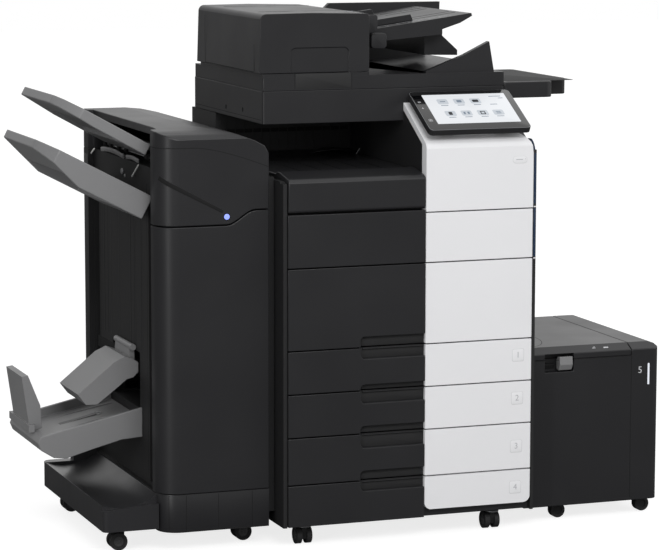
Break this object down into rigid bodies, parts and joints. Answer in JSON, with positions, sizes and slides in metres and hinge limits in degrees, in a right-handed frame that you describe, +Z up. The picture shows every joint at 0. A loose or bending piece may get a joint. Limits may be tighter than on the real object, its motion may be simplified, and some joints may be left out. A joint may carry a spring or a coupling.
{
  "type": "photocopier",
  "caption": "Floor-standing photocopier with document feeder, tilting touch panel, pull-out paper drawers, booklet finisher on the left and side paper unit on the right",
  "frame": {"origin": "centre of the whole machine's footprint, on the floor", "axes": "+X to the machine's right, -Y out of its front, +Z up"},
  "size_m": [1.485, 0.6984, 1.202],
  "materials": {
    "charcoal_plastic": "fine moulded texture",
    "soot_plastic": "moulded, dull",
    "white_plastic": "smooth satin",
    "grey_plastic": "fine moulded texture",
    "wheel_rubber": "dull tread",
    "platen": "clear, polished",
    "toner_yellow": "satin",
    "toner_magenta": "satin",
    "toner_cyan": "satin",
    "toner_black": "satin",
    "panel_gloss": "glossy panel face",
    "screen": "lit display under cover glass"
  },
  "bodies": {
    "main_unit": {"main_frame": "soot_plastic", "exit_tray": "charcoal_plastic", "panel_column": "white_plastic", "imaging_unit": "grey_plastic", "toner_cartridge_yellow": "toner_yellow", "toner_cartridge_magenta": "toner_magenta", "toner_cartridge_cyan": "toner_cyan", "toner_cartridge_black": "toner_black", "scanner_housing": "charcoal_plastic", "platen_glass": "platen", "work_table": "charcoal_plastic"},
    "document_feeder": {"adf_body": "charcoal_plastic"},
    "feeder_cover": {"adf_feed_cover": "charcoal_plastic"},
    "feeder_tray": {"adf_input_tray": "charcoal_plastic"},
    "feeder_guide_front": {"adf_guide_front": "charcoal_plastic"},
    "feeder_guide_rear": {"adf_guide_rear": "charcoal_plastic"},
    "scan_lamp": {"scan_carriage": "soot_plastic"},
    "operation_panel": {"control_panel": "charcoal_plastic"},
    "toner_door": {"upper_front_door": "charcoal_plastic", "upper_door_panel": "white_plastic"},
    "service_door": {"lower_front_door": "charcoal_plastic", "lower_door_panel": "white_plastic"},
    "drawer_1": {"tray_1": "charcoal_plastic", "tray_panel_1": "white_plastic"},
    "drawer_2": {"tray_2": "charcoal_plastic", "tray_panel_2": "white_plastic"},
    "drawer_3": {"tray_3": "charcoal_plastic", "tray_panel_3": "white_plastic"},
    "drawer_4": {"tray_4": "charcoal_plastic", "tray_panel_4": "white_plastic"},
    "side_door": {"right_door": "charcoal_plastic"},
    "bypass": {"bypass_tray": "charcoal_plastic"},
    "finisher": {"finisher_frame": "soot_plastic", "finisher_upper_cover": "charcoal_plastic", "finisher_foot": "charcoal_plastic", "upper_output_tray": "grey_plastic", "saddle_tray": "grey_plastic"},
    "finisher_front_door": {"finisher_door": "charcoal_plastic"},
    "stacking_tray": {"lower_output_tray": "grey_plastic"},
    "booklet_flap": {"saddle_flap": "grey_plastic"},
    "booklet_stop": {"saddle_stop": "grey_plastic"},
    "paper_unit": {"side_cabinet": "charcoal_plastic"},
    "paper_lid": {"side_lid": "charcoal_plastic"},
    "lid_latch": {"side_lever": "grey_plastic"},
    "main_left_caster": {"main_left_fork": "soot_plastic"},
    "main_left_wheels": {"main_left_wheel": "wheel_rubber"},
    "main_right_caster": {"main_right_fork": "soot_plastic"},
    "main_right_wheels": {"main_right_wheel": "wheel_rubber"},
    "finisher_front_left_caster": {"finisher_front_left_fork": "soot_plastic"},
    "finisher_front_left_wheels": {"finisher_front_left_wheel": "wheel_rubber"},
    "finisher_rear_left_caster": {"finisher_rear_left_fork": "soot_plastic"},
    "finisher_rear_left_wheels": {"finisher_rear_left_wheel": "wheel_rubber"},
    "finisher_front_right_caster": {"finisher_front_right_fork": "soot_plastic"},
    "finisher_front_right_wheels": {"finisher_front_right_wheel": "wheel_rubber"},
    "finisher_rear_right_caster": {"finisher_rear_right_fork": "soot_plastic"},
    "finisher_rear_right_wheels": {"finisher_rear_right_wheel": "wheel_rubber"},
    "main_rear_left_wheels": {"main_rear_left_wheel": "wheel_rubber"},
    "main_rear_right_wheels": {"main_rear_right_wheel": "wheel_rubber"},
    "paper_unit_left_wheels": {"side_left_wheels": "wheel_rubber"},
    "paper_unit_right_wheels": {"side_right_wheels": "wheel_rubber"}
  },
  "joints": [
    {"name": "feeder_lift", "type": "hinge", "parent": "main_unit", "child": "document_feeder", "pos_m": [0.0815, 0.32325, 1.0303], "axis": [-1, 0, 0], "range_deg": [0, 60]},
    {"name": "feeder_cover_hinge", "type": "hinge", "parent": "document_feeder", "child": "feeder_cover", "pos_m": [-0.2275, 0.03125, 1.0655], "axis": [0, -1, 0], "range_deg": [0, 70]},
    {"name": "feeder_tray_hinge", "type": "hinge", "parent": "document_feeder", "child": "feeder_tray", "pos_m": [0.0393, 0.04125, 1.1555], "axis": [0, -1, 0], "range_deg": [0, 45]},
    {"name": "guide_front_slide", "type": "slide", "parent": "feeder_tray", "child": "feeder_guide_front", "axis": [0, 1, 0], "range_m": [-0.04, 0.11]},
    {"name": "guide_rear_slide", "type": "slide", "parent": "feeder_tray", "child": "feeder_guide_rear", "axis": [0, 1, 0], "range_m": [-0.11, 0.04]},
    {"name": "scan_lamp_slide", "type": "slide", "parent": "main_unit", "child": "scan_lamp", "axis": [1, 0, 0], "range_m": [0, 0.436]},
    {"name": "panel_tilt", "type": "hinge", "parent": "main_unit", "child": "operation_panel", "pos_m": [0.2515, -0.30375, 0.9375], "axis": [1, 0, 0], "range_deg": [0, 20]},
    {"name": "toner_door_hinge", "type": "hinge", "parent": "main_unit", "child": "toner_door", "pos_m": [0.0815, -0.33475, 0.6458], "axis": [1, 0, 0], "range_deg": [0, 90]},
    {"name": "service_door_hinge", "type": "hinge", "parent": "main_unit", "child": "service_door", "pos_m": [0.0815, -0.33475, 0.459], "axis": [1, 0, 0], "range_deg": [0, 90]},
    {"name": "drawer_1_slide", "type": "slide", "parent": "main_unit", "child": "drawer_1", "axis": [0, -1, 0], "range_m": [0, 0.4]},
    {"name": "drawer_2_slide", "type": "slide", "parent": "main_unit", "child": "drawer_2", "axis": [0, -1, 0], "range_m": [0, 0.4]},
    {"name": "drawer_3_slide", "type": "slide", "parent": "main_unit", "child": "drawer_3", "axis": [0, -1, 0], "range_m": [0, 0.4]},
    {"name": "drawer_4_slide", "type": "slide", "parent": "main_unit", "child": "drawer_4", "axis": [0, -1, 0], "range_m": [0, 0.4]},
    {"name": "side_door_hinge", "type": "hinge", "parent": "main_unit", "child": "side_door", "pos_m": [0.3905, 0.01125, 0.474], "axis": [0, 1, 0], "range_deg": [0, 80]},
    {"name": "bypass_hinge", "type": "hinge", "parent": "side_door", "child": "bypass", "pos_m": [0.3972, 0.01125, 0.5694], "axis": [0, 1, 0], "range_deg": [0, 60]},
    {"name": "finisher_docking", "type": "slide", "parent": "main_unit", "child": "finisher", "axis": [-1, 0, 0], "range_m": [0, 0.25]},
    {"name": "finisher_door_hinge", "type": "hinge", "parent": "finisher", "child": "finisher_front_door", "pos_m": [-0.2402, -0.28575, 0.45], "axis": [0, 0, 1], "range_deg": [0, 90]},
    {"name": "stacking_tray_lift", "type": "slide", "parent": "finisher", "child": "stacking_tray", "axis": [0, 0, -1], "range_m": [0, 0.25]},
    {"name": "booklet_flap_hinge", "type": "hinge", "parent": "finisher", "child": "booklet_flap", "pos_m": [-0.4865, 0.01125, 0.433], "axis": [0, 1, 0], "range_deg": [0, 35]},
    {"name": "booklet_stop_slide", "type": "slide", "parent": "finisher", "child": "booklet_stop", "axis": [0.9763, 0, 0.2164], "range_m": [0, 0.065]},
    {"name": "paper_unit_docking", "type": "slide", "parent": "main_unit", "child": "paper_unit", "axis": [1, 0, 0], "range_m": [0, 0.36]},
    {"name": "paper_lid_hinge", "type": "hinge", "parent": "paper_unit", "child": "paper_lid", "pos_m": [0.5315, 0.16125, 0.3923], "axis": [-1, 0, 0], "range_deg": [0, 70]},
    {"name": "lid_latch_hinge", "type": "hinge", "parent": "paper_unit", "child": "lid_latch", "pos_m": [0.498, -0.27375, 0.368], "axis": [1, 0, 0], "range_deg": [0, 25], "stiffness_Nm_per_rad": 0.05},
    {"name": "main_left_swivel", "type": "hinge", "parent": "main_unit", "child": "main_left_caster", "pos_m": [-0.1585, -0.30075, 0.045], "axis": [0, 0, 1], "continuous": true},
    {"name": "main_left_roll", "type": "hinge", "parent": "main_left_caster", "child": "main_left_wheels", "pos_m": [-0.1585, -0.28875, 0.02], "axis": [1, 0, 0], "continuous": true},
    {"name": "main_right_swivel", "type": "hinge", "parent": "main_unit", "child": "main_right_caster", "pos_m": [0.3055, -0.30075, 0.045], "axis": [0, 0, 1], "continuous": true},
    {"name": "main_right_roll", "type": "hinge", "parent": "main_right_caster", "child": "main_right_wheels", "pos_m": [0.3055, -0.28875, 0.02], "axis": [1, 0, 0], "continuous": true},
    {"name": "finisher_front_left_swivel", "type": "hinge", "parent": "finisher", "child": "finisher_front_left_caster", "pos_m": [-0.5605, -0.20275, 0.045], "axis": [0, 0, 1], "continuous": true},
    {"name": "finisher_front_left_roll", "type": "hinge", "parent": "finisher_front_left_caster", "child": "finisher_front_left_wheels", "pos_m": [-0.5725, -0.20275, 0.02], "axis": [0, 1, 0], "continuous": true},
    {"name": "finisher_rear_left_swivel", "type": "hinge", "parent": "finisher", "child": "finisher_rear_left_caster", "pos_m": [-0.5585, 0.21625, 0.045], "axis": [0, 0, 1], "continuous": true},
    {"name": "finisher_rear_left_roll", "type": "hinge", "parent": "finisher_rear_left_caster", "child": "finisher_rear_left_wheels", "pos_m": [-0.5705, 0.21625, 0.02], "axis": [0, 1, 0], "continuous": true},
    {"name": "finisher_front_right_swivel", "type": "hinge", "parent": "finisher", "child": "finisher_front_right_caster", "pos_m": [-0.2645, -0.20075, 0.045], "axis": [0, 0, 1], "continuous": true},
    {"name": "finisher_front_right_roll", "type": "hinge", "parent": "finisher_front_right_caster", "child": "finisher_front_right_wheels", "pos_m": [-0.2765, -0.20075, 0.02], "axis": [0, 1, 0], "continuous": true},
    {"name": "finisher_rear_right_swivel", "type": "hinge", "parent": "finisher", "child": "finisher_rear_right_caster", "pos_m": [-0.2645, 0.26125, 0.045], "axis": [0, 0, 1], "continuous": true},
    {"name": "finisher_rear_right_roll", "type": "hinge", "parent": "finisher_rear_right_caster", "child": "finisher_rear_right_wheels", "pos_m": [-0.2765, 0.26125, 0.02], "axis": [0, 1, 0], "continuous": true},
    {"name": "main_rear_left_roll", "type": "hinge", "parent": "main_unit", "child": "main_rear_left_wheels", "pos_m": [-0.1585, 0.29125, 0.02], "axis": [1, 0, 0], "continuous": true},
    {"name": "main_rear_right_roll", "type": "hinge", "parent": "main_unit", "child": "main_rear_right_wheels", "pos_m": [0.3055, 0.29125, 0.02], "axis": [1, 0, 0], "continuous": true},
    {"name": "paper_unit_left_roll", "type": "hinge", "parent": "paper_unit", "child": "paper_unit_left_wheels", "pos_m": [0.499, -0.23975, 0.0177], "axis": [0, 1, 0], "continuous": true},
    {"name": "paper_unit_right_roll", "type": "hinge", "parent": "paper_unit", "child": "paper_unit_right_wheels", "pos_m": [0.7195, -0.23975, 0.0177], "axis": [0, 1, 0], "continuous": true}
  ],
  "couplings": [
    {"joint": "guide_rear_slide", "follows": "guide_front_slide", "ratio": -1}
  ]
}
